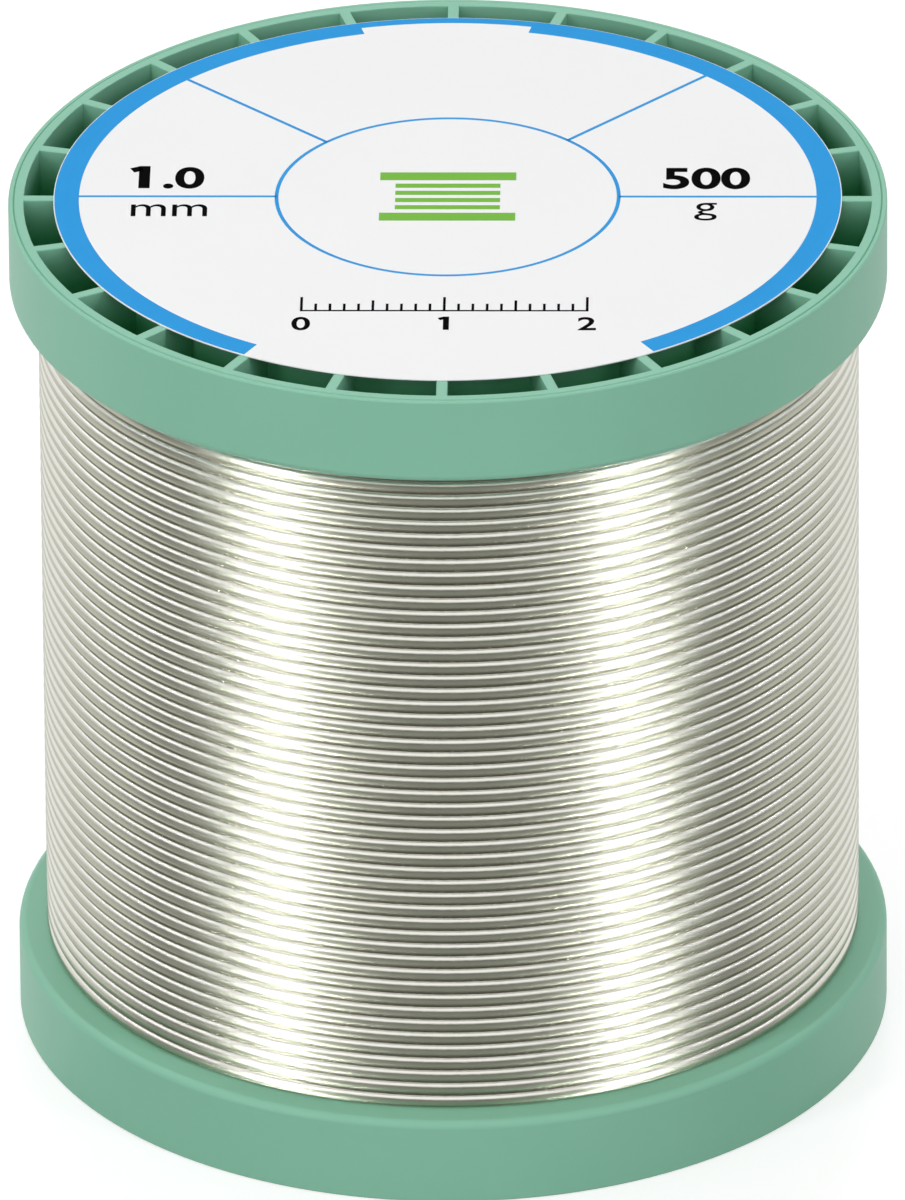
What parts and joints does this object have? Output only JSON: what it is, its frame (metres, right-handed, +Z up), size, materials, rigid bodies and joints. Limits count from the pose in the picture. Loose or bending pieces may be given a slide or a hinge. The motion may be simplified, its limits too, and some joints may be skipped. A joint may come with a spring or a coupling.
{
  "type": "solder wire spool",
  "caption": "Moulded plastic spool with ribbed flanges and a hub bore, full of close-wound flux-cored solder wire, with a round paper label on top.",
  "frame": {"origin": "centre of the lower flange's end face, which the spool stands on", "axes": "+Z up the spool's axis, -Y towards the front of the picture, +X to its right"},
  "size_m": [0.062, 0.062, 0.0639],
  "materials": {
    "spool_plastic": "satin",
    "solder_metal": "polished",
    "flux_resin": "gloss",
    "label_paper": "matte"
  },
  "bodies": {
    "root": {"lower_spool_half": "spool_plastic", "upper_spool_half": "spool_plastic", "inner_wire_layers": "solder_metal", "outer_wire_layer": "solder_metal", "flux_core": "flux_resin", "label": "label_paper"}
  },
  "joints": []
}
